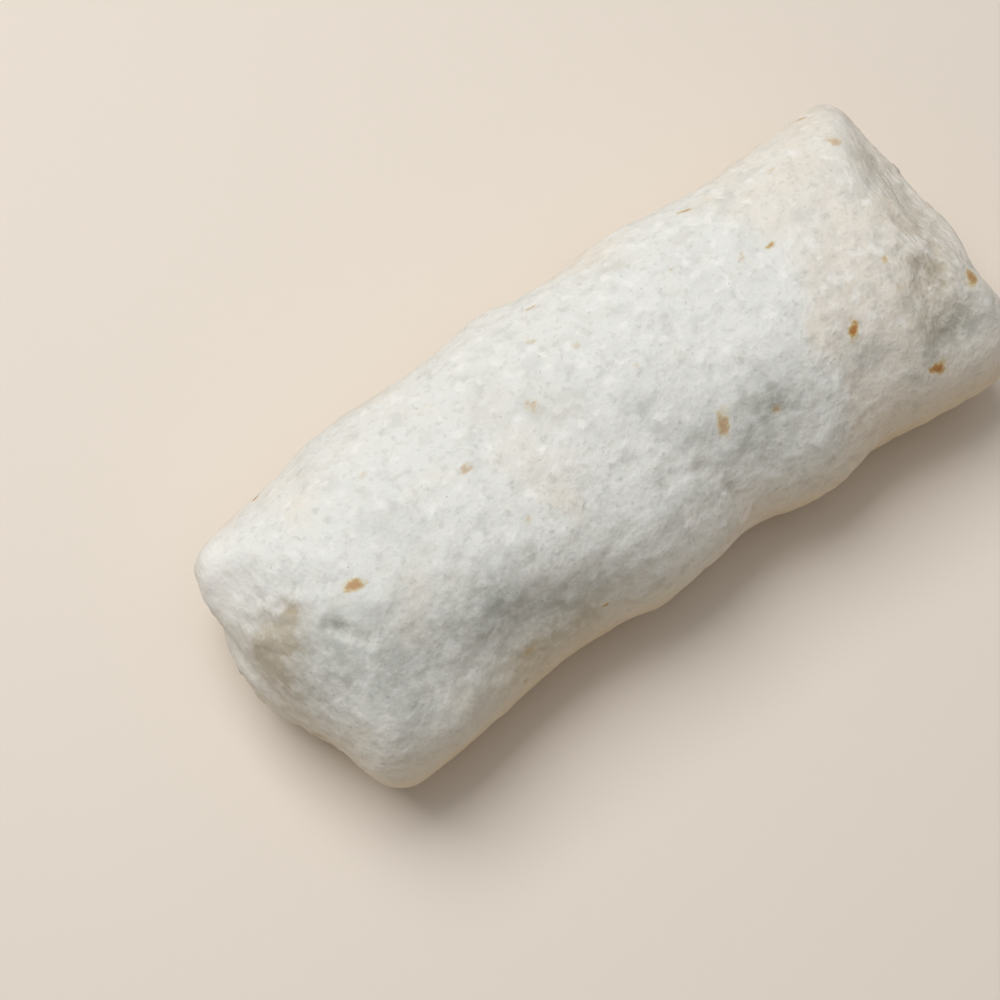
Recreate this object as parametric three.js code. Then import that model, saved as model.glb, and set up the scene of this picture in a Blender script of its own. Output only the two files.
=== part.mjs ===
// A large flour-tortilla burrito, rolled shut and lying seam side down on its flattened underside.
// It is one solid: the wrap has no opening, so nothing of the filling is built.
// Millimetres. +X runs along the roll, +Z is up, and the origin is the middle of the base.

import * as THREE from "three";
import { mergeVertices } from "three/addons/utils/BufferGeometryUtils.js";

// ---- Driving sizes ----------------------------------------------------------------------------

const CREST_HALF = 62; // half the straight stretch of the crest, before the ends round over
const CREST_HEIGHT = 49; // top of the roll, without its lumps
const WIDEST_HEIGHT = 20; // height at which the roll is widest
const BACK_HALF = 34.6; // half-width on the +Y side, measured from the crest
const FRONT_HALF = 35.3; // half-width on the -Y side, measured from the crest
const BASE_SINK = 2.2; // how much of the round underside is pressed flat by the roll's weight

// Squareness of a section or a plan corner: 2 is an ellipse, and more is boxier.
const UPPER_SQUARENESS = 2.35;
const LOWER_SQUARENESS = 2.7;

// How far each tucked end reaches past the crest, and how square its two corners are.
const LEFT_END = { direction: -1, reach: 24.4, squareness: 5.4 };
const RIGHT_END = { direction: 1, reach: 27.4, squareness: 7 };

// Soft waves of the two long sides: where along X, how long, and how far out (or in, if negative).
const BACK_WAVES = [
  { at: -80, spread: 18, rise: -6 },
  { at: -50, spread: 12, rise: 2 },
  { at: -32, spread: 10, rise: 1 },
  { at: -9, spread: 12, rise: 2.6 },
  { at: 26, spread: 10, rise: 1.2 },
  { at: 56, spread: 16, rise: -2.4 },
];
const FRONT_WAVES = [
  { at: -74, spread: 14, rise: 1.4 },
  { at: -33, spread: 15, rise: -2 },
  { at: -9, spread: 9, rise: 1.6 },
  { at: 12, spread: 10, rise: -1.4 },
  { at: 32, spread: 10, rise: 2.8 },
  { at: 68, spread: 16, rise: 4.6 },
];

// Swells and hollows of the tucked ends, placed by the angle round the end of the crest, in
// degrees: 0 points along the roll, 90 across it to the back and -90 to the front.
const LEFT_SWELLS = [
  { at: 8, spread: 34, rise: 5.6 },
  { at: 46, spread: 7, rise: 3 },
  { at: 66, spread: 12, rise: -2 },
  { at: -52, spread: 14, rise: -3 },
];
const RIGHT_SWELLS = [
  { at: 54, spread: 9, rise: 1.8 },
  { at: 22, spread: 14, rise: -1 },
  { at: -38, spread: 14, rise: -1.2 },
];

// Broad lumps of the filling under the wrap, and hollows between them, on the upper side.
const LUMPS = [
  { x: -62, y: 14, spread: 15, rise: 1.2 },
  { x: -38, y: -4, spread: 20, rise: 1.4 },
  { x: -14, y: -18, spread: 11, rise: -1.3 },
  { x: 4, y: 8, spread: 17, rise: 1.6 },
  { x: 20, y: -6, spread: 11, rise: -1 },
  { x: 36, y: -8, spread: 18, rise: 1.8 },
  { x: 60, y: 14, spread: 16, rise: 1.2 },
];

// Hollows where the wrap is drawn in over the ends, pressed towards the end of the roll's core.
const TUCKS = [
  { x: -88, y: 1, z: 32, spread: 7, depth: 1.6 },
  { x: -81, y: 5, z: 43, spread: 5, depth: 0.9 },
  { x: 84, y: -4, z: 39, spread: 12, depth: 3.4 },
  { x: 71, y: -22, z: 45, spread: 7, depth: 3.4 },
  { x: 85, y: 11, z: 39, spread: 9, depth: 1.8 },
  { x: 86, y: -24, z: 34, spread: 8, depth: 1.5 },
];

// The fold that shuts each end: an arched valley across the end, from corner to corner. It starts
// this far past the end of the crest, and is at its full depth where the end face is.
const FOLD = { height: 28, fall: 10, halfLength: 30, halfWidth: 2.2, depth: 1.3, start: 6, full: 18 };
const FOLD_FADE = 0.7; // share of the half-length at which the fold begins to die out

// Steps of the mesh.
const SIDE_STEPS = 44; // along each long side
const END_STEPS = 34; // round each end
const UPPER_STEPS = 16; // from the crest down to the widest line
const LOWER_STEPS = 10; // from the widest line down to the base

const TORTILLA_WHITE = 0xe9e6df;

// ---- Rules of the shape -----------------------------------------------------------------------

const QUARTER_TURN = Math.PI / 2;
const { smoothstep, radToDeg } = THREE.MathUtils;

const bell = (distance, spread) => Math.exp(-((distance / spread) ** 2));

function sumOfWaves(waves, at) {
  return waves.reduce((sum, wave) => sum + wave.rise * bell(at - wave.at, wave.spread), 0);
}

// Half-width of the roll at x, on the +Y side (side = 1) or the -Y side (side = -1).
function halfWidth(x, side) {
  if (side > 0) return BACK_HALF + sumOfWaves(BACK_WAVES, x);
  return FRONT_HALF + sumOfWaves(FRONT_WAVES, x);
}

// Distance from the end of the crest to the widest line: a squared-off curve that meets the
// half-width of the long side at a right angle. The swells die out there, so the outline is smooth.
function endReach(end, swells, angle) {
  const width = halfWidth(end.direction * CREST_HALF, angle < 0 ? -1 : 1);
  const along = Math.abs(Math.cos(angle)) / end.reach;
  const across = Math.abs(Math.sin(angle)) / width;
  const square = (along ** end.squareness + across ** end.squareness) ** (-1 / end.squareness);
  const fade = Math.abs(Math.cos(angle)) ** 0.25;
  return square + fade * sumOfWaves(swells, radToDeg(angle));
}

// The spokes of the loft, in order round the roll seen from above. Each starts on the crest and
// runs out level, in the direction (dx, dy), to the widest line.
function makeSpokes() {
  const spokes = [];
  const addSide = (side) => {
    for (let i = 0; i < SIDE_STEPS; i++) {
      const x = side * CREST_HALF * (1 - (2 * i) / SIDE_STEPS);
      spokes.push({ x, dx: 0, dy: side, reach: halfWidth(x, side) });
    }
  };
  const addEnd = (end, swells) => {
    for (let i = 0; i < END_STEPS; i++) {
      const angle = -end.direction * QUARTER_TURN * (1 - (2 * i) / END_STEPS);
      const dx = end.direction * Math.cos(angle);
      const reach = endReach(end, swells, angle);
      spokes.push({ x: end.direction * CREST_HALF, dx, dy: Math.sin(angle), reach });
    }
  };
  addSide(1);
  addEnd(LEFT_END, LEFT_SWELLS);
  addSide(-1);
  addEnd(RIGHT_END, RIGHT_SWELLS);
  return spokes;
}

// A point of the plain pillow form. Turn runs from a quarter turn at the crest, through 0 at the
// widest line, to minus a quarter turn under the crest. The underside is cut off flat at the base.
function pillowPoint(spoke, turn) {
  const squareness = turn > 0 ? UPPER_SQUARENESS : LOWER_SQUARENESS;
  const out = spoke.reach * Math.abs(Math.cos(turn)) ** (2 / squareness);
  const lift = Math.abs(Math.sin(turn)) ** (2 / squareness);
  const above = WIDEST_HEIGHT + (CREST_HEIGHT - WIDEST_HEIGHT) * lift;
  const below = WIDEST_HEIGHT - (WIDEST_HEIGHT + BASE_SINK) * lift;
  const z = turn > 0 ? above : Math.max(0, below);
  return new THREE.Vector3(spoke.x + spoke.dx * out, spoke.dy * out, z);
}

// Lumps and hollows lift or lower the upper side, and fade out at the widest line.
function addLumps(point) {
  const share = smoothstep(point.z, WIDEST_HEIGHT, CREST_HEIGHT);
  for (const lump of LUMPS) {
    const distance = Math.hypot(point.x - lump.x, point.y - lump.y);
    point.z += lump.rise * share * bell(distance, lump.spread);
  }
}

// Tucks press the wrap towards the end of the core, and the fold draws it in along X.
function addTucks(point) {
  const start = point.clone();
  const direction = Math.sign(start.x);
  const inward = new THREE.Vector3(direction * CREST_HALF, 0, WIDEST_HEIGHT).sub(start).normalize();
  for (const tuck of TUCKS) {
    const distance = start.distanceTo(new THREE.Vector3(tuck.x, tuck.y, tuck.z));
    point.addScaledVector(inward, tuck.depth * bell(distance, tuck.spread));
  }
  const share = Math.abs(start.y) / FOLD.halfLength;
  const line = FOLD.height - FOLD.fall * share ** 2;
  const pastCrest = Math.abs(start.x) - CREST_HALF;
  const onEnd = smoothstep(pastCrest, FOLD.start, FOLD.full);
  const along = 1 - smoothstep(share, FOLD_FADE, 1);
  point.x -= direction * FOLD.depth * onEnd * along * bell(start.z - line, FOLD.halfWidth);
}

// ---- The solid --------------------------------------------------------------------------------

function makeTortillaGeometry() {
  const spokes = makeSpokes();
  const turns = [];
  for (let i = 0; i < UPPER_STEPS; i++) turns.push(QUARTER_TURN * (1 - i / UPPER_STEPS));
  for (let i = 0; i <= LOWER_STEPS; i++) turns.push(-QUARTER_TURN * (i / LOWER_STEPS));

  const corners = [];
  for (const turn of turns) {
    for (const spoke of spokes) {
      const point = pillowPoint(spoke, turn);
      if (point.z > 0) {
        addLumps(point);
        addTucks(point);
      }
      corners.push(point.x, point.y, point.z);
    }
  }

  const faces = [];
  const count = spokes.length;
  for (let row = 0; row < turns.length - 1; row++) {
    for (let i = 0; i < count; i++) {
      const here = row * count + i;
      const beside = row * count + ((i + 1) % count);
      faces.push(here, here + count, beside + count, here, beside + count, beside);
    }
  }

  const lofted = new THREE.BufferGeometry();
  lofted.setAttribute("position", new THREE.Float32BufferAttribute(corners, 3));
  lofted.setIndex(faces);
  lofted.computeBoundingBox();
  const middle = lofted.boundingBox.getCenter(new THREE.Vector3());
  lofted.translate(-middle.x, -middle.y, 0);
  const closed = mergeVertices(lofted);
  closed.computeVertexNormals();
  return closed;
}

const tortilla = new THREE.Mesh(
  makeTortillaGeometry(),
  new THREE.MeshStandardMaterial({ color: TORTILLA_WHITE, roughness: 0.85, metalness: 0 }),
);
tortilla.name = "tortilla";

const burrito = new THREE.Group();
burrito.add(tortilla);

export default burrito;
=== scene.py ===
import random
from math import cos, radians, sin

import bmesh
import bpy
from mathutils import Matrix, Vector


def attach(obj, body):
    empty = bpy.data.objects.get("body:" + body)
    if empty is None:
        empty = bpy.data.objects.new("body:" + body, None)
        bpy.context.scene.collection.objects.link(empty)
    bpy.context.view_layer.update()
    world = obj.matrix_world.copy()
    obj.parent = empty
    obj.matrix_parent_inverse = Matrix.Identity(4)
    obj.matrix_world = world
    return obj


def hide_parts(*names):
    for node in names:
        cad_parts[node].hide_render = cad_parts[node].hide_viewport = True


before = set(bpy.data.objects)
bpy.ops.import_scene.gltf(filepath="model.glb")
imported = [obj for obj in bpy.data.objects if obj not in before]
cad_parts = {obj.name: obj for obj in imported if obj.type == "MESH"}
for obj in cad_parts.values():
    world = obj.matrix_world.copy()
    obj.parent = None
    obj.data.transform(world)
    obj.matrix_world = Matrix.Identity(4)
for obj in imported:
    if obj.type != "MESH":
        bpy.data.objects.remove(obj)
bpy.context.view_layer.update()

MM = 0.001


# ---- The tortilla -----------------------------------------------------------------------------
# The wrap is one soft flour tortilla, rolled round the filling about one and a half times, with
# its two sides tucked in first, so that each end shows the rolled edge of several layers. It lies
# on its free edge, pressed flat underneath by its own weight.

WRAP_SUBDIVISIONS = 2

wrap = bpy.data.objects.new("rolled_tortilla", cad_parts["tortilla"].data.copy())
bpy.context.scene.collection.objects.link(wrap)
shell = bmesh.new()
shell.from_mesh(wrap.data)
bmesh.ops.remove_doubles(shell, verts=shell.verts, dist=1e-6)
bmesh.ops.join_triangles(
    shell, faces=shell.faces, angle_face_threshold=radians(40), angle_shape_threshold=radians(60)
)
for face in shell.faces:
    face.smooth = True
shell.to_mesh(wrap.data)
shell.free()
wrap.data.materials.clear()

rounding = wrap.modifiers.new("Rounding", "SUBSURF")
rounding.levels = rounding.render_levels = WRAP_SUBDIVISIONS
bpy.context.view_layer.update()


def add(tree, kind, inputs=(), **options):
    """Adds a node, sets its options, and feeds its inputs with sockets or with plain values."""
    node = tree.nodes.new(kind)
    for name, value in options.items():
        setattr(node, name, value)
    for key, value in dict(inputs).items():
        if isinstance(value, bpy.types.NodeSocket):
            tree.links.new(value, node.inputs[key])
        else:
            node.inputs[key].default_value = value
    return node


def calc(tree, operation, *values):
    """One step of arithmetic on sockets or numbers."""
    return add(tree, "ShaderNodeMath", enumerate(values), operation=operation).outputs[0]


def total(tree, *values):
    """The sum of several sockets."""
    result = values[0]
    for value in values[1:]:
        result = calc(tree, "ADD", result, value)
    return result


def product(tree, *values):
    """The product of several sockets or numbers."""
    result = values[0]
    for value in values[1:]:
        result = calc(tree, "MULTIPLY", result, value)
    return result


def ramp(tree, value, low, high, start=0.0, end=1.0):
    """A smooth step from start to end as the value goes from low to high."""
    inputs = {"Value": value, "From Min": low, "From Max": high, "To Min": start, "To Max": end}
    return add(tree, "ShaderNodeMapRange", inputs, interpolation_type="SMOOTHSTEP").outputs[0]


def bell(tree, distance, spread):
    """1 at distance 0, falling smoothly to nothing over about twice the spread."""
    share = calc(tree, "DIVIDE", distance, spread)
    return calc(tree, "EXPONENT", product(tree, share, share, -1.0))


def noise(tree, position, size, detail=2.0, roughness=0.5, distortion=0.0):
    """Noise centred on zero, from about -0.5 to 0.5, whose lumps are about this size."""
    inputs = {
        "Vector": position, "Scale": 1 / size, "Detail": detail,
        "Roughness": roughness, "Distortion": distortion,
    }
    return calc(tree, "SUBTRACT", add(tree, "ShaderNodeTexNoise", inputs).outputs[0], 0.5)


def scaled(tree, position, factors):
    """A position stretched along the axes, to draw a pattern out along one of them."""
    inputs = {0: position, 1: factors}
    return add(tree, "ShaderNodeVectorMath", inputs, operation="MULTIPLY").outputs[0]


# Each end shows the roll as a flattened spiral: its centre and half-sizes across and up, the gap
# between its turns as a share of those, and where round the end its turns begin.
TUCKED_ENDS = [
    {"side": -1, "across": -1 * MM, "up": 18 * MM, "half_across": 31 * MM, "half_up": 14 * MM,
     "gap": 0.56, "lead": 0.30},
    {"side": 1, "across": -3 * MM, "up": 22 * MM, "half_across": 33 * MM, "half_up": 17 * MM,
     "gap": 0.50, "lead": 0.55},
]
END_STARTS = 70 * MM  # distance from the middle at which the ends begin to show the tuck
END_FULL = 78 * MM
LIP_HEIGHT = 0.3 * MM  # the skin thins to a rounded lip at the inner edge of each turn
LIP_WIDTH = 1.6 * MM
STEP_WIDTH = 1.7 * MM  # the step down from one turn to the next, and the groove at its foot
GROOVE_AT = 1.9 * MM
GROOVE_WIDTH = 1.5 * MM

# Hollows and lobes that the filling and the tucked sides leave in the skin: middle, radius and
# height, in mm. A hollow has a height below zero.
SOFT_SHAPES = [
    ((-84, 5, 37), 3, 0.7), ((-85, 22, 38), 5, 1.6), ((-88, 19, 31), 6, 2.4),
    ((-71, -6, 47.5), 1.4, -0.2), ((-78, -34, 18), 8, 1.9), ((-80, -29, 27), 6, 1.0),
    ((-87, -22, 11), 6, -1.2), ((-66, -22, 43), 12, -2.3), ((-49, -28, 39), 10, -2.5),
    ((-36, -28, 38), 8, -2.2), ((-20, -30, 35), 8, -1.1), ((-26, -17, 46), 7, 0.6),
    ((-62, -33, 30), 8, 1.2), ((24, -25, 42), 10, -1.9), ((7, -35, 26), 9, 2.0),
    ((72, -31, 40), 7, -2.6), ((79, -19, 43), 4, 0.5), ((84, -6, 42), 6, -0.8),
    ((79, -39, 22), 9, 2.4), ((50, -27, 41), 6, -0.7), ((42, -38, 25), 9, 1.7),
    ((87, 28, 31), 5, 0.6), ((56, -10, 48), 7, 0.6), ((-12, -12, 48), 9, 0.5),
    ((87, 11, 31), 6, 2.2), ((86, 2, 32), 7, 1.9), ((86, -7, 33), 7, 2.6),
    ((85, -14, 36), 5, 1.2), ((-89, -3, 17), 12, 1.8),
]

# Long soft creases where the tucked sides pull on the wrap: first, middle and last point, in mm.
CREASES = [
    ((-84, 10, 37), (-83, 5, 40), (-77, 0, 45)),
    ((-78, 6, 46), (-77, 3, 46), (-74, 0, 46)),
    ((-73, -4, 47), (-70, -6, 47), (-68, -11, 47)),
    ((74, -1, 47), (76, -7, 45), (78, -13, 44)),
    ((70, -11, 47), (73, -17, 45), (70, -23, 43)),
    ((77, -13, 44), (76, -19, 44), (71, -25, 42)),
    ((83, 9, 40), (82, 0, 42), (79, -9, 43)),
    ((84, 20, 36), (84, 12, 39), (82, 4, 42)),
    ((12, 27, 42), (28, 21, 46), (42, 20, 46)),
    ((40, -20, 45), (46, -27, 41), (49, -33, 33)),
    ((8, -22, 43), (12, -28, 38), (13, -32, 32)),
]

# Where the skin is gathered into fine wrinkles: middle and radius in mm, and strength.
GATHERED = [
    ((76, -12, 45), 10, 0.55), ((83, 6, 40), 9, 0.50), ((71, -24, 42), 7, 0.35),
    ((90, 0, 20), 18, 0.40), ((-90, 0, 18), 18, 0.15),
]

wrap_tree = bpy.data.node_groups.new("Rolled wrap", "GeometryNodeTree")
wrap_tree.is_modifier = True
WRAP_INPUTS = [
    ("Unevenness", "NodeSocketFloat", 0.8 * MM),
    ("Blister Height", "NodeSocketFloat", 0.16 * MM),
    ("Blister Radius", "NodeSocketFloat", 3.0 * MM),
    ("Blisters per Area", "NodeSocketFloat", 22000.0),
    ("Wrinkle Height", "NodeSocketFloat", 0.45 * MM),
    ("Crease Depth", "NodeSocketFloat", 0.5 * MM),
    ("Crease Width", "NodeSocketFloat", 1.4 * MM),
    ("Layer Step", "NodeSocketFloat", 1.3 * MM),
    ("Groove Depth", "NodeSocketFloat", 0.7 * MM),
    ("Seam Height", "NodeSocketFloat", 13.0 * MM),
    ("Seam Step", "NodeSocketFloat", 1.8 * MM),
    ("Seed", "NodeSocketInt", 4),
]
wrap_tree.interface.new_socket("Geometry", in_out="INPUT", socket_type="NodeSocketGeometry")
for socket_name, socket_type, _ in WRAP_INPUTS:
    wrap_tree.interface.new_socket(socket_name, in_out="INPUT", socket_type=socket_type)
wrap_tree.interface.new_socket("Spots", in_out="INPUT", socket_type="NodeSocketObject")
wrap_tree.interface.new_socket("Material", in_out="INPUT", socket_type="NodeSocketMaterial")
wrap_tree.interface.new_socket("Geometry", in_out="OUTPUT", socket_type="NodeSocketGeometry")

given = add(wrap_tree, "NodeGroupInput").outputs
place = add(wrap_tree, "GeometryNodeInputPosition").outputs[0]
normal = add(wrap_tree, "GeometryNodeInputNormal").outputs[0]
x, y, z = add(wrap_tree, "ShaderNodeSeparateXYZ", {0: place}).outputs
off_base = ramp(wrap_tree, z, 0.6 * MM, 5 * MM)
past_middle = calc(wrap_tree, "ABSOLUTE", x)
near_end = ramp(wrap_tree, past_middle, END_STARTS, END_FULL)


def around(tree, middle, radius, strength):
    """This strength at a place given in mm, falling off softly over the radius."""
    between = {0: place, 1: Vector(middle) * MM}
    distance = add(tree, "ShaderNodeVectorMath", between, operation="DISTANCE").outputs["Value"]
    return product(tree, bell(tree, distance, radius * MM), strength)


def rolled_layers(tree, end):
    """How far in the skin lies at one end: each turn of the roll is a step behind the last one,
    with a groove at its foot and a rounded lip. Returns the depth and the groove on its own."""
    across = calc(tree, "DIVIDE", calc(tree, "SUBTRACT", y, end["across"]), end["half_across"])
    up = calc(tree, "DIVIDE", calc(tree, "SUBTRACT", z, end["up"]), end["half_up"])
    radius = calc(tree, "SQRT", total(tree, product(tree, across, across), product(tree, up, up)))
    angle = product(tree, calc(tree, "ARCTAN2", up, across), end["side"] / radians(360))
    wobble = product(tree, noise(tree, place, 15 * MM, 1.0), 0.3)
    part_turn = calc(tree, "FRACT", calc(tree, "ADD", angle, end["lead"]))
    inside = calc(tree, "SUBTRACT", 1.0, calc(tree, "ADD", radius, wobble))
    turns = calc(tree, "SUBTRACT", calc(tree, "DIVIDE", inside, end["gap"]), part_turn)
    layer = calc(tree, "FLOOR", turns)
    within = calc(tree, "FRACT", turns)
    gap_width = end["gap"] * (end["half_across"] + end["half_up"]) / 2
    from_edge = product(tree, within, gap_width)
    to_next = product(tree, calc(tree, "SUBTRACT", 1.0, within), gap_width)
    rolled = calc(tree, "GREATER_THAN", turns, 0.0)
    behind = product(tree, rolled, given["Layer Step"], calc(tree, "ADD", layer, part_turn))
    edge = calc(tree, "MINIMUM", behind, given["Layer Step"])
    not_yet = ramp(tree, from_edge, 0.0, STEP_WIDTH, 1.0, 0.0)
    steps = calc(tree, "SUBTRACT", behind, product(tree, edge, not_yet))
    foot = bell(tree, calc(tree, "SUBTRACT", from_edge, GROOVE_AT), GROOVE_WIDTH)
    strength = ramp(tree, part_turn, 0.0, 0.25)
    first = calc(tree, "MAXIMUM", strength, calc(tree, "GREATER_THAN", layer, 0.5))
    pressed = ramp(tree, noise(tree, place, 8 * MM), -0.12, 0.08, 0.25, 1.0)
    off_middle = ramp(tree, radius, 0.12, 0.40)
    groove = product(tree, rolled, foot, first, pressed, off_middle)
    lip = product(
        tree, bell(tree, to_next, LIP_WIDTH), calc(tree, "GREATER_THAN", turns, -1.0)
    )
    on_this_end = product(
        tree, near_end, calc(tree, "GREATER_THAN", product(tree, x, end["side"]), 0.0)
    )
    depth = total(
        tree, steps, product(tree, groove, given["Groove Depth"]), product(tree, lip, LIP_HEIGHT)
    )
    return product(tree, depth, on_this_end), product(tree, groove, on_this_end)


left_depth, left_groove = rolled_layers(wrap_tree, TUCKED_ENDS[0])
right_depth, right_groove = rolled_layers(wrap_tree, TUCKED_ENDS[1])
layers_depth = total(wrap_tree, left_depth, right_depth)

soft_shapes = product(
    wrap_tree, total(wrap_tree, *(around(wrap_tree, *shape) for shape in SOFT_SHAPES)), MM
)

# The free edge of the wrap shows low on the back: below it the skin is one layer further in.
SEAM_WAVE_LENGTH = 30 * MM
SEAM_WAVE_HEIGHT = 6 * MM
SEAM_EDGE_WIDTH = 1.0 * MM  # over which the skin steps down, nearly all of it below the edge
SEAM_EDGE_TOP = 0.1 * MM
SEAM_GROOVE_BELOW = 1.2 * MM
SEAM_GROOVE_WIDTH = 0.8 * MM
SEAM_GROOVE_DEPTH = 0.5 * MM
along_seam = scaled(wrap_tree, place, (1, 0, 0))
seam_wave = product(wrap_tree, noise(wrap_tree, along_seam, SEAM_WAVE_LENGTH), SEAM_WAVE_HEIGHT)
seam_line = total(wrap_tree, given["Seam Height"], seam_wave)
above_seam = calc(wrap_tree, "SUBTRACT", z, seam_line)
under_edge = ramp(
    wrap_tree, above_seam, SEAM_EDGE_TOP - SEAM_EDGE_WIDTH, SEAM_EDGE_TOP, 1.0, 0.0
)
on_back = ramp(wrap_tree, y, 4 * MM, 12 * MM)
seam_ends = ramp(wrap_tree, past_middle, 66 * MM, 84 * MM, 1.0, 0.0)
seam_mask = product(wrap_tree, on_back, seam_ends, off_base)
seam_depth = product(wrap_tree, under_edge, given["Seam Step"], seam_mask)
below_seam = calc(wrap_tree, "ADD", above_seam, SEAM_GROOVE_BELOW)
seam_groove = product(wrap_tree, bell(wrap_tree, below_seam, SEAM_GROOVE_WIDTH), seam_mask)

# Creases: one curve each, and the skin dips towards the nearest, between two low ridges.
CREASE_POINTS = 12
RIDGES_AT = 2.2  # in widths of a crease
RIDGE_SHARE = 0.5  # height of the ridges, as a share of the crease's depth
crease_lines = add(wrap_tree, "GeometryNodeJoinGeometry")
for first, middle, last in CREASES:
    bend = {
        "Resolution": CREASE_POINTS, "Start": Vector(first) * MM,
        "Middle": Vector(middle) * MM, "End": Vector(last) * MM,
    }
    line = add(wrap_tree, "GeometryNodeCurveQuadraticBezier", bend)
    wrap_tree.links.new(line.outputs[0], crease_lines.inputs[0])
crease_edges = add(wrap_tree, "GeometryNodeCurveToMesh", {"Curve": crease_lines.outputs[0]})
nearest_crease = add(
    wrap_tree, "GeometryNodeProximity", {0: crease_edges.outputs[0]}, target_element="EDGES"
).outputs["Distance"]
strayed = total(
    wrap_tree, nearest_crease, product(wrap_tree, noise(wrap_tree, place, 4 * MM), 2.4 * MM)
)
crease_strength = ramp(wrap_tree, noise(wrap_tree, place, 7 * MM), -0.15, 0.12, 0.1, 1.0)
crease_mark = product(
    wrap_tree, bell(wrap_tree, strayed, given["Crease Width"]), crease_strength
)
ridge_line = product(wrap_tree, given["Crease Width"], RIDGES_AT)
crease_ridge = bell(
    wrap_tree, calc(wrap_tree, "SUBTRACT", strayed, ridge_line), given["Crease Width"]
)
ridges = product(wrap_tree, crease_ridge, crease_strength, RIDGE_SHARE)
crease_depth = product(
    wrap_tree, given["Crease Depth"], calc(wrap_tree, "SUBTRACT", crease_mark, ridges)
)

# Fine wrinkles, drawn out across the roll, are narrow ridges with wide valleys between.
across_roll = scaled(wrap_tree, place, (1.9, 0.75, 1.2))
swaying = noise(wrap_tree, across_roll, 6.5 * MM, 2.0, 0.5, 0.8)
RIDGE_SHARPNESS = 7.0
off_ridge = product(wrap_tree, calc(wrap_tree, "ABSOLUTE", swaying), RIDGE_SHARPNESS)
ridge = calc(wrap_tree, "MAXIMUM", calc(wrap_tree, "SUBTRACT", 1.0, off_ridge), 0.0)
gathered = total(
    wrap_tree, *(around(wrap_tree, *patch) for patch in GATHERED),
    ramp(wrap_tree, past_middle, 50 * MM, 84 * MM, 0.04, 0.10),
)
wrinkles = product(wrap_tree, ridge, ridge, gathered, given["Wrinkle Height"])

# Blisters: low domes where the dough puffed up on the griddle, at random places on the skin.
scatter = {
    "Mesh": given["Geometry"], "Density": given["Blisters per Area"], "Seed": given["Seed"]
}
blister_points = add(wrap_tree, "GeometryNodeDistributePointsOnFaces", scatter).outputs["Points"]
to_blister = add(
    wrap_tree, "GeometryNodeProximity", {0: blister_points}, target_element="POINTS"
).outputs["Distance"]
off_blister = calc(wrap_tree, "DIVIDE", to_blister, given["Blister Radius"])
dome = ramp(wrap_tree, calc(wrap_tree, "SUBTRACT", 1.0, off_blister), 0.0, 1.0)
blisters = product(wrap_tree, dome, given["Blister Height"])

# The filling makes the whole skin a little uneven, and the dough itself is slightly crinkled:
# size of the lumps in mm, and their height as a share of the unevenness.
LUMPS = [(24, 1.0), (9, 1.1), (4.5, 0.52), (2.9, 0.30)]
uneven = total(
    wrap_tree,
    *(product(wrap_tree, noise(wrap_tree, place, size * MM, 1.0), share) for size, share in LUMPS),
)
unevenness = product(wrap_tree, uneven, given["Unevenness"])

raised = total(wrap_tree, unevenness, blisters, wrinkles, soft_shapes)
lowered = total(
    wrap_tree, layers_depth, seam_depth, crease_depth,
    product(wrap_tree, seam_groove, SEAM_GROOVE_DEPTH),
)
relief = product(wrap_tree, calc(wrap_tree, "SUBTRACT", raised, lowered), off_base)
offset = add(wrap_tree, "ShaderNodeVectorMath", {0: normal, "Scale": relief}, operation="SCALE")

# Toasted spots, where the tortilla touched the griddle: place, turn in plan in degrees, half
# length and half width in mm, and how dark.
TOASTED_SPOTS = [
    ((-64, -1, 50), -17, 2.4, 1.4, 0.66), ((51, -18, 47), 60, 2.3, 1.3, 1.0),
    ((64, -33, 36), -27, 2.4, 1.5, 0.95), ((17, -18, 46), 63, 3.2, 1.6, 0.50),
    ((81, -23, 42), 83, 2.1, 1.7, 0.75), ((66, -10, 48), 40, 1.0, 0.8, 0.50),
    ((48.5, 6.5, 50), 0, 1.3, 0.7, 0.70), ((42, 8, 50), 60, 1.6, 0.9, 0.25),
    ((76, 18, 46), -37, 1.6, 1.8, 0.42), ((78, 30, 37), 23, 1.3, 2.0, 0.42),
    ((61, 21, 45.5), 25, 1.9, 0.9, 0.26), ((42, 26, 42), -27, 1.9, 0.6, 0.50),
    ((29, 15, 48), 0, 0.6, 0.5, 0.65), ((-13, 8, 49), 50, 1.9, 1.5, 0.26),
    ((-32, 5, 50), -10, 1.9, 1.3, 0.30), ((2, 28, 42), -20, 1.7, 0.7, 0.30),
    ((2.5, 13, 50), 20, 1.3, 0.9, 0.18), ((-4, 20, 47), -40, 1.5, 0.8, 0.18),
    ((9, 2, 50), 10, 1.1, 0.8, 0.16), ((-28, -11, 49), 70, 1.4, 1.0, 0.20),
    ((-41, -31, 33), -15, 1.6, 1.0, 0.30), ((-45, -33, 26), 10, 1.6, 1.1, 0.25),
    ((-23, -32, 31), 0, 0.9, 0.6, 0.70), ((28, -22, 45), 30, 1.3, 1.0, 0.30),
    ((65, -16, 46), 60, 1.3, 0.8, 0.25), ((57, -37, 18), 0, 0.6, 0.5, 0.50),
    ((-77, 3, 46), 300, 2.1, 0.7, 0.12), ((-49, 17, 49), 40, 1.7, 0.9, 0.15),
    ((55.5, -10.5, 49), 60, 1.6, 1.0, 0.12),
]
HIDDEN_SPOTS = 34  # more of them on the back, the ends and the underside
FARTHEST_REACH = 6.0  # in half-sizes of a spot: past this no point belongs to it

spot_places = []
spot_values = {"spot_along": [], "spot_length": [], "spot_width": [], "spot_toast": []}


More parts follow.
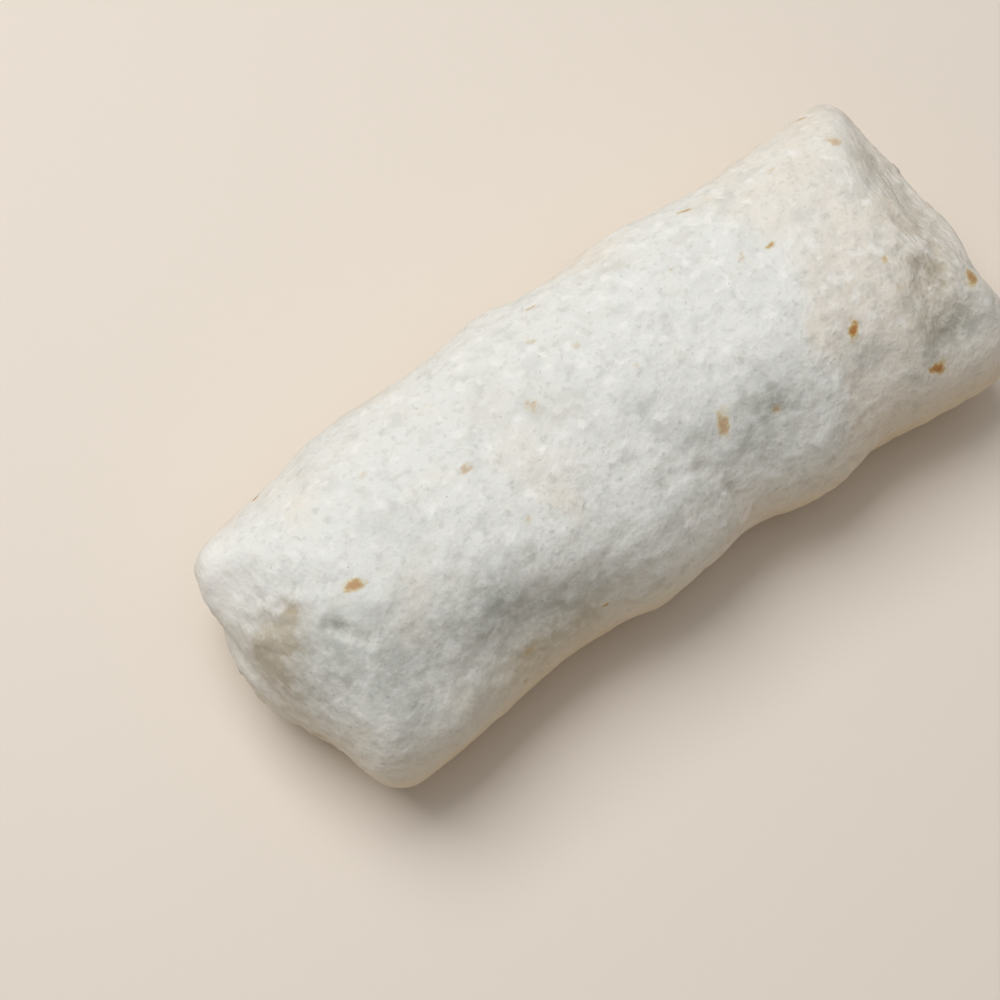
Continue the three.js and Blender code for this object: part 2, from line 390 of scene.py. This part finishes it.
def add_spot(near, turn, length, width, toast):
    """Puts a spot on the skin next to a place in mm, its long way turned in plan."""
    _, on_skin, outwards, _ = wrap.closest_point_on_mesh(Vector(near) * MM)
    level = Vector((cos(radians(turn)), sin(radians(turn)), 0.001))
    along = (level - outwards * level.dot(outwards)).normalized()
    spot_places.append(on_skin)
    values = (tuple(along), length * MM, width * MM, toast)
    for name, value in zip(spot_values, values):
        spot_values[name].append(value)


for spot in TOASTED_SPOTS:
    add_spot(*spot)
CLEAR_OF_ROLL = 60  # in mm: a hidden spot drops onto the skin from this far off the roll's middle
ROLL_MIDDLE = 22  # its height in mm
chance = random.Random(12)
for _ in range(HIDDEN_SPOTS):
    round_back = radians(chance.uniform(-150, 35))
    far_out = (
        chance.uniform(-92, 92), CLEAR_OF_ROLL * cos(round_back),
        ROLL_MIDDLE + CLEAR_OF_ROLL * sin(round_back),
    )
    size = chance.uniform(0.6, 1.9)
    add_spot(
        far_out, chance.uniform(0, 180), size * chance.uniform(1.0, 1.8), size,
        chance.choice((0.2, 0.25, 0.35, 0.5, 0.9)),
    )
spot_mesh = bpy.data.meshes.new("toasted_spots")
spot_mesh.from_pydata(spot_places, [], [])
for name, values in spot_values.items():
    is_direction = name == "spot_along"
    layer = spot_mesh.attributes.new(name, "FLOAT_VECTOR" if is_direction else "FLOAT", "POINT")
    for item, value in zip(layer.data, values):
        if is_direction:
            item.vector = value
        else:
            item.value = value
spots = bpy.data.objects.new("toasted_spots", spot_mesh)
bpy.context.scene.collection.objects.link(spots)

spot_cloud = add(
    wrap_tree, "GeometryNodeObjectInfo", {"Object": given["Spots"]}
).outputs["Geometry"]
nearest_spot = add(
    wrap_tree, "GeometryNodeSampleNearest", {"Geometry": spot_cloud}, domain="POINT"
).outputs[0]


def of_nearest_spot(tree, field, kind="FLOAT"):
    """A value of the spot that lies nearest to a point of the skin."""
    inputs = {"Geometry": spot_cloud, "Value": field, "Index": nearest_spot}
    options = {"data_type": kind, "domain": "POINT"}
    return add(tree, "GeometryNodeSampleIndex", inputs, **options).outputs[0]


def named(tree, name, kind="FLOAT"):
    """The attribute of this name."""
    return add(tree, "GeometryNodeInputNamedAttribute", {"Name": name}, data_type=kind).outputs[0]


spot_middle = of_nearest_spot(wrap_tree, place, "FLOAT_VECTOR")
spot_along = of_nearest_spot(
    wrap_tree, named(wrap_tree, "spot_along", "FLOAT_VECTOR"), "FLOAT_VECTOR"
)
from_spot = add(
    wrap_tree, "ShaderNodeVectorMath", {0: place, 1: spot_middle}, operation="SUBTRACT"
).outputs[0]
lengthways = add(
    wrap_tree, "ShaderNodeVectorMath", {0: from_spot, 1: spot_along}, operation="DOT_PRODUCT"
).outputs["Value"]
away = add(wrap_tree, "ShaderNodeVectorMath", {0: from_spot}, operation="LENGTH").outputs["Value"]
crossways_squared = calc(
    wrap_tree, "SUBTRACT", product(wrap_tree, away, away),
    product(wrap_tree, lengthways, lengthways),
)
crossways = calc(wrap_tree, "SQRT", calc(wrap_tree, "MAXIMUM", 0.0, crossways_squared))
spot_length = of_nearest_spot(wrap_tree, named(wrap_tree, "spot_length"))
spot_width = of_nearest_spot(wrap_tree, named(wrap_tree, "spot_width"))
length_share = calc(wrap_tree, "DIVIDE", lengthways, spot_length)
width_share = calc(wrap_tree, "DIVIDE", crossways, spot_width)
spot_reach = calc(
    wrap_tree, "SQRT",
    total(
        wrap_tree, product(wrap_tree, length_share, length_share),
        product(wrap_tree, width_share, width_share),
    ),
)
spot_toast = of_nearest_spot(wrap_tree, named(wrap_tree, "spot_toast"))

# Where the skin is thin or damp the dark filling greys it, and on the front slope and the end
# slopes these patches are painted shade: middle and radius in mm, and strength.
GREY_AND_SHADE_PATCHES = [
    ((29, -20, 46), 6, 0.95), ((20, -24, 44), 8, 0.35), ((5, -5, 49.5), 4, 0.40),
    ((-43, -21, 44), 8, 0.68), ((-49, 1, 50), 6, 0.28), ((-62, -14, 47), 10, 0.35),
    ((-32, -28, 36), 8, 0.90), ((12, -16, 47), 8, 0.25), ((-70.5, -5.5, 47.5), 1.8, 0.40),
    ((-19, -29, 37), 7, 0.45), ((36, -31, 35), 6, 0.30), ((-80, -12, 38), 9, 0.40),
    ((70, -27, 41), 6, 0.45), ((-74, -7, 46), 7, 0.65), ((79, -8, 43), 8, 0.35),
    ((82, 7, 42), 7, 0.50), ((63, -27, 42), 6, 0.40), ((-67, -22, 43), 9, 0.35),
    ((-14, -33, 31), 6, 0.35), ((74, -30, 39), 7, 0.80), ((-60, -26, 41), 18, 0.28),
    ((25, -28, 40), 6, 0.40), ((51, -22, 45), 5, 0.35), ((-54, -31, 33), 5, 0.35),
    ((-41, -19, 45), 5, 0.30), ((-4, 4, 50), 3, 0.25), ((10, -15, 47), 4, 0.30),
]
greyed = total(wrap_tree, *(around(wrap_tree, *patch) for patch in GREY_AND_SHADE_PATCHES))

# Beige marks: in the hollows and folds at the ends and low on the front they are painted shade,
# and elsewhere they are stains where juice has soaked in: middle and radius in mm, and strength.
STAINS_AND_SHADE = [
    ((-84.5, -1, 36), 6.5, 1.50), ((-80.5, 1, 43), 5, 1.00), ((-87, -9, 27), 6, 0.45),
    ((-76.5, 3, 45.5), 1.9, 0.95), ((28, -22, 45), 1.2, 0.80), ((75, -8, 45), 7, 0.30),
    ((83, 0, 41), 8, 0.45), ((80, 12, 43), 5, 0.20), ((72, -15, 45), 3, 0.35),
    ((68, -24, 42.5), 8, 0.75), ((74, -19, 44), 4, 0.45), ((-41, -32, 31), 5, 1.10),
    ((-29, -32, 31), 7, 0.70), ((77, -14, 43), 6, 0.20), ((-12, 6, 49), 5, 0.20),
    ((-8, 2, 49), 4, 0.20), ((-20, 13, 48), 6, 0.14), ((62, 10, 49), 12, 0.10),
    ((78, 22, 42), 9, 0.14),
]
stained = total(wrap_tree, *(around(wrap_tree, *patch) for patch in STAINS_AND_SHADE))

# Painted light: the tips and corner lobes listed here are painted whiter, as a painted highlight.
PAINTED_LIGHT_PATCHES = [
    ((-84, 20, 37), 8, 1.0), ((82, 20, 40), 4, 0.6), ((79, -34, 30), 9, 0.4), ((-75, -36, 22), 6, 0.6),
]
floured = total(wrap_tree, *(around(wrap_tree, *patch) for patch in PAINTED_LIGHT_PATCHES))

marks = [
    ("fold", total(wrap_tree, left_groove, right_groove, seam_groove)),
    ("crease", crease_mark),
    ("greyed", greyed),
    ("stained", stained),
    ("floured", floured),
    ("gathered", gathered),
    ("spot_reach", calc(wrap_tree, "MINIMUM", spot_reach, FARTHEST_REACH)),
    ("spot_toast", spot_toast),
]
skin = given["Geometry"]
for mark_name, value in marks:
    skin = add(
        wrap_tree, "GeometryNodeStoreNamedAttribute",
        {"Geometry": skin, "Name": mark_name, "Value": value}, data_type="FLOAT", domain="POINT",
    ).outputs[0]
moved = add(
    wrap_tree, "GeometryNodeSetPosition", {"Geometry": skin, "Offset": offset.outputs[0]}
)
realized = add(wrap_tree, "GeometryNodeRealizeInstances", {0: moved.outputs[0]})
finished = add(
    wrap_tree, "GeometryNodeSetMaterial",
    {"Geometry": realized.outputs[0], "Material": given["Material"]},
)
add(wrap_tree, "NodeGroupOutput", {0: finished.outputs[0]})

# Soft cooked dough: off-white, matt and a little translucent, mottled with cooler patches where it
# is thin, dusted with flour, and spotted with tan where it toasted. Painted shade darkens its
# hollows, folds and front slope, painted light brightens its tips, and painted bounce light from the
# table warms it low down.
dough = bpy.data.materials.new("flour_tortilla")
dough.use_nodes = True
tree = dough.node_tree
tree.nodes.clear()
spot = add(tree, "ShaderNodeTexCoord").outputs["Object"]


def mark(tree, name):
    """A value stored on the skin by the wrap's tree."""
    return add(tree, "ShaderNodeAttribute", attribute_name=name).outputs["Fac"]


def blend(tree, share, under, over):
    """One colour laid over another by this share."""
    node = add(tree, "ShaderNodeMix", data_type="RGBA")
    for socket, value in ((node.inputs[0], share), (node.inputs[6], under), (node.inputs[7], over)):
        if isinstance(value, bpy.types.NodeSocket):
            tree.links.new(value, socket)
        else:
            socket.default_value = value
    return node.outputs[2]


# Damp grey and stain tan also serve as painted shade, flour white as painted highlight, and cream as
# painted bounce light.
WARM_WHITE = (0.79, 0.75, 0.685, 1)
COOL_WHITE = (0.765, 0.775, 0.75, 1)
THIN_GREY = (0.46, 0.47, 0.44, 1)
THIN_OLIVE = (0.40, 0.40, 0.33, 1)
DAMP_GREY_AND_SHADE = (0.35, 0.37, 0.34, 1)
FLOUR_AND_HIGHLIGHT_WHITE = (0.88, 0.88, 0.86, 1)
CREAM_AND_BOUNCE_LIGHT = (0.72, 0.58, 0.37, 1)
STAIN_AND_SHADE_TAN = (0.42, 0.36, 0.26, 1)
PALE_TAN = (0.66, 0.55, 0.31, 1)
TAN = (0.60, 0.455, 0.165, 1)
TOAST = (0.39, 0.135, 0.018, 1)
SPECK = (0.16, 0.14, 0.11, 1)

along, across, height = add(tree, "ShaderNodeSeparateXYZ", {0: spot}).outputs

# The dough is cool white, and warmer in broad patches and towards the right end.
to_right = ramp(tree, along, 28 * MM, 66 * MM, 0.0, 0.24)
warm = total(tree, noise(tree, spot, 28 * MM, 2.0), to_right)
colour = blend(tree, ramp(tree, warm, 0.0, 0.22), COOL_WHITE, WARM_WHITE)

# Thin places are greyer, with small flecks in clusters, painted stronger on the front slope, partly
# as painted shade of the fine relief there: size in mm, noise at which they begin and are full, and
# strength.
THIN_PLACES = [
    (10, 0.0, 0.25, 0.28), (4.2, 0.0, 0.26, 0.38), (2.0, 0.05, 0.25, 0.34), (1.0, 0.06, 0.26, 0.20),
]
FLECKS = [(0.95, 0.15, 0.24, 0.42), (1.7, 0.20, 0.28, 0.38)]
mottled_and_shaded = ramp(tree, across, -28 * MM, 2 * MM, 1.3, 0.8)
for size, low, high, share in THIN_PLACES:
    thin = ramp(tree, noise(tree, spot, size * MM, 2.5, 0.5), low, high, 0.0, share)
    colour = blend(tree, product(tree, thin, mottled_and_shaded), colour, THIN_GREY)
clustered = ramp(tree, noise(tree, spot, 6 * MM, 2.0), -0.08, 0.16, 0.15, 1.0)
for size, low, high, share in FLECKS:
    fleck = ramp(tree, noise(tree, spot, size * MM, 2.0, 0.5, 0.4), low, high, 0.0, share)
    colour = blend(tree, product(tree, fleck, mottled_and_shaded, clustered), colour, THIN_OLIVE)
dimple = noise(tree, spot, 2.2 * MM, 1.5, 0.5, 0.3)
colour = blend(tree, ramp(tree, dimple, 0.13, 0.19, 0.0, 0.18), colour, THIN_OLIVE)

# Flour has stayed on it in small patches, and it is creamier where it is thick; the listed tips and
# corners are painted white with the flour, as painted light.
floury = ramp(tree, noise(tree, spot, 3.4 * MM, 3.0, 0.5, 0.2), 0.04, 0.19, 0.0, 0.55)
colour = blend(tree, calc(tree, "MAXIMUM", floury, mark(tree, "floured")), colour, FLOUR_AND_HIGHLIGHT_WHITE)
creamy = ramp(tree, noise(tree, spot, 13 * MM, 3.0, 0.6), 0.08, 0.24, 0.0, 0.10)
colour = blend(tree, creamy, colour, CREAM_AND_BOUNCE_LIGHT)

# Damp places are grey, and on the front slope and the end slopes that grey is painted shade;
# folds, creases and the listed hollows are painted a darker beige as painted shade, and soaked
# places are beige.
DAMP_AND_SHADE_SHARE = 0.8
FOLD_SHARE = 0.3
CREASE_SHARE = 0.16
SOAKED_AND_SHADE_SHARE = 0.9
MOST_STAIN_AND_SHADE = 0.75
uneven_share = ramp(tree, noise(tree, spot, 3 * MM, 3.0, 0.6), -0.2, 0.15, 0.35, 1.0)
damp_and_shade = product(tree, mark(tree, "greyed"), uneven_share, DAMP_AND_SHADE_SHARE)
colour = blend(tree, damp_and_shade, colour, DAMP_GREY_AND_SHADE)
stain_and_shade = total(
    tree, product(tree, mark(tree, "fold"), FOLD_SHARE),
    product(tree, mark(tree, "crease"), CREASE_SHARE),
    product(tree, mark(tree, "stained"), uneven_share, SOAKED_AND_SHADE_SHARE),
)
colour = blend(tree, calc(tree, "MINIMUM", stain_and_shade, MOST_STAIN_AND_SHADE), colour, STAIN_AND_SHADE_TAN)

# Low down the skin is painted cream as painted bounce light, warm light thrown up from the table,
# less so in the middle of the front and at the left end.
from_middle = calc(tree, "SUBTRACT", along, 6 * MM)
on_front = ramp(tree, across, -20 * MM, 0.0, 1.0, 0.0)
in_middle = product(tree, bell(tree, from_middle, 20 * MM), on_front)
off_left_end = ramp(tree, along, -90 * MM, -76 * MM, 0.35, 1.0)
painted_bounce_light = product(
    tree, off_left_end, ramp(tree, height, 8 * MM, 40 * MM, 0.95, 0.0),
    calc(tree, "SUBTRACT", 1.0, product(tree, in_middle, 0.35)),
)
colour = blend(tree, painted_bounce_light, colour, CREAM_AND_BOUNCE_LIGHT)

# Fine wrinkles, drawn out across the roll: the narrow ridges are painted pale, a painted highlight
# on their crests, so the dough between looks greyer.
drawn_out = scaled(tree, spot, (1.5, 0.6, 1.1))
sway = calc(tree, "ABSOLUTE", noise(tree, drawn_out, 4.4 * MM, 2.0, 0.5, 0.3))
pleat = ramp(tree, sway, 0.0, 0.10, 1.0, 0.0)
pleats = product(tree, pleat, calc(tree, "MINIMUM", mark(tree, "gathered"), 1.0))
colour = blend(tree, product(tree, pleats, 0.35), colour, FLOUR_AND_HIGHLIGHT_WHITE)

# Toasted spots have a ragged outline, a tan rim, and a darker middle where they toasted most.
ragged = total(
    tree, product(tree, noise(tree, spot, 1.6 * MM, 2.0, 0.5), 1.5),
    product(tree, noise(tree, spot, 0.6 * MM, 2.0, 0.6), 0.5),
)
reach = total(tree, mark(tree, "spot_reach"), ragged)
toast = mark(tree, "spot_toast")
crisp = ramp(tree, toast, 0.15, 0.6, 0.1, 0.6)
rim = ramp(tree, reach, crisp, 1.3, 1.0, 0.0)
halo = product(tree, rim, calc(tree, "POWER", toast, 0.6), 0.85)
rim_colour = blend(tree, ramp(tree, toast, 0.2, 0.6), PALE_TAN, TAN)
colour = blend(tree, halo, colour, rim_colour)
burnt = product(tree, ramp(tree, reach, 0.25, 0.95, 1.0, 0.0), toast, 0.85)
colour = blend(tree, burnt, colour, TOAST)

# A few dark specks of bran.
cells = add(tree, "ShaderNodeTexVoronoi", {"Vector": spot, "Scale": 1 / (2.4 * MM)})
chosen = add(tree, "ShaderNodeSeparateXYZ", {0: cells.outputs["Color"]}).outputs[0]
kept = ramp(tree, chosen, 0.6, 0.9)
specks = product(tree, ramp(tree, cells.outputs["Distance"], 0.04, 0.10, 0.5, 0.0), kept)
colour = blend(tree, specks, colour, SPECK)

# The dough's fine relief, under the light gloss of a soft, slightly oily skin.
grain = total(
    tree,
    product(tree, noise(tree, spot, 0.9 * MM, 2.0, 0.5), 0.18),
    product(tree, noise(tree, spot, 2.0 * MM, 2.5, 0.5), 0.75),
    product(tree, noise(tree, spot, 4.2 * MM, 2.5, 0.5), 0.7),
    product(tree, floury, 0.10), product(tree, pleats, 0.5),
)
bump = add(tree, "ShaderNodeBump", {"Strength": 0.8, "Distance": 0.5 * MM, "Height": grain})
roughness = total(tree, product(tree, noise(tree, spot, 3 * MM), 0.3), 0.68)
surface = add(
    tree, "ShaderNodeBsdfPrincipled",
    {
        "Base Color": colour, "Roughness": roughness, "Normal": bump.outputs[0],
        "Specular IOR Level": 0.35, "Subsurface Weight": 0.18,
        "Subsurface Radius": (1.0, 0.82, 0.62), "Subsurface Scale": 2.0 * MM,
        "Sheen Weight": 0.08, "Sheen Roughness": 0.6,
    },
)
add(tree, "ShaderNodeOutputMaterial", {"Surface": surface.outputs[0]})

making = wrap.modifiers.new("Rolled wrap", "NODES")
making.node_group = wrap_tree
wrap_values = {name: value for name, _, value in WRAP_INPUTS}
wrap_values |= {"Spots": spots, "Material": dough}
for item in wrap_tree.interface.items_tree:
    if item.in_out == "INPUT" and item.name in wrap_values:
        making[item.identifier] = wrap_values[item.name]
bpy.context.view_layer.update()
made = bpy.data.meshes.new_from_object(wrap.evaluated_get(bpy.context.evaluated_depsgraph_get()))
wrap.modifiers.clear()
wrap.data = made
made.shade_smooth()
bpy.data.objects.remove(spots)

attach(wrap, "root")
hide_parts("tortilla")


# ---- The table --------------------------------------------------------------------------------
# A plain pale table top, not part of the object, only there to take the shadow.

TABLE_SIDE = 40.0
TABLE_BEIGE = (0.76, 0.69, 0.61, 1)
TABLE_ROUGHNESS = 0.6
table_mesh = bpy.data.meshes.new("table")
half = TABLE_SIDE / 2
table_mesh.from_pydata(
    [(-half, -half, 0), (half, -half, 0), (half, half, 0), (-half, half, 0)], [], [(0, 1, 2, 3)]
)
table = bpy.data.objects.new("table", table_mesh)
bpy.context.scene.collection.objects.link(table)
glazed = bpy.data.materials.new("pale_table")
glazed.use_nodes = True
glaze = glazed.node_tree.nodes["Principled BSDF"].inputs
glaze["Base Color"].default_value = TABLE_BEIGE
glaze["Roughness"].default_value = TABLE_ROUGHNESS
table_mesh.materials.append(glazed)


# ---- Light and camera -------------------------------------------------------------------------
# One broad soft window light from behind the roll, a weak one from above, and the dim light of
# the room itself.

def soft_light(name, azimuth, elevation, distance, side, power, colour):
    """A square soft light that faces the middle of the roll."""
    lamp = bpy.data.lights.new(name, "AREA")
    lamp.shape = "SQUARE"
    lamp.size = side
    lamp.energy = power
    lamp.color = colour
    light = bpy.data.objects.new(name, lamp)
    bpy.context.scene.collection.objects.link(light)
    in_plan, above = radians(azimuth), radians(elevation)
    back = Vector((sin(in_plan) * cos(above), -cos(in_plan) * cos(above), sin(above)))
    light.location = back * distance
    light.rotation_euler = back.to_track_quat("Z", "Y").to_euler()


soft_light(
    "window", azimuth=188, elevation=63, distance=1.3, side=0.85, power=12.6,
    colour=(1.0, 0.99, 0.97),
)
soft_light(
    "ceiling", azimuth=60, elevation=85, distance=1.6, side=1.4, power=3.4,
    colour=(1.0, 0.99, 0.98),
)

# The room is cool white overhead and warm brown down at the level of the table.
OVERHEAD_WHITE = (0.93, 0.97, 1.0, 1)
WALL_BROWN = (0.98, 0.70, 0.42, 1)
ROOM_BRIGHTNESS = 0.26
room = bpy.data.worlds.new("room")
room.use_nodes = True
room_tree = room.node_tree
outlook = add(room_tree, "ShaderNodeTexCoord").outputs["Generated"]
upwards = add(room_tree, "ShaderNodeSeparateXYZ", {0: outlook}).outputs[2]
overhead = ramp(room_tree, upwards, 0.1, 0.8)
walls = blend(room_tree, overhead, WALL_BROWN, OVERHEAD_WHITE)
room_tree.links.new(walls, room_tree.nodes["Background"].inputs["Color"])
room_tree.nodes["Background"].inputs["Strength"].default_value = ROOM_BRIGHTNESS
bpy.context.scene.world = room
bpy.context.scene.view_settings.view_transform = "Standard"

CAMERA_AZIMUTH = -37.0
CAMERA_ELEVATION = 72.0
CAMERA_DISTANCE = 454.6 * MM
CAMERA_AIM = Vector((-20.6, 8.6, 0)) * MM
LENS_LENGTH = 72.4  # this and the sensor in the camera's own millimetres
SENSOR_WIDTH = 36
camera_data = bpy.data.cameras.new("camera")
camera_data.lens = LENS_LENGTH
camera_data.sensor_width = SENSOR_WIDTH
camera = bpy.data.objects.new("camera", camera_data)
bpy.context.scene.collection.objects.link(camera)
turn, tilt = radians(CAMERA_AZIMUTH), radians(CAMERA_ELEVATION)
towards_camera = Vector((sin(turn) * cos(tilt), -cos(turn) * cos(tilt), sin(tilt)))
camera.location = CAMERA_AIM + towards_camera * CAMERA_DISTANCE
camera.rotation_euler = towards_camera.to_track_quat("Z", "Y").to_euler()
bpy.context.scene.camera = camera
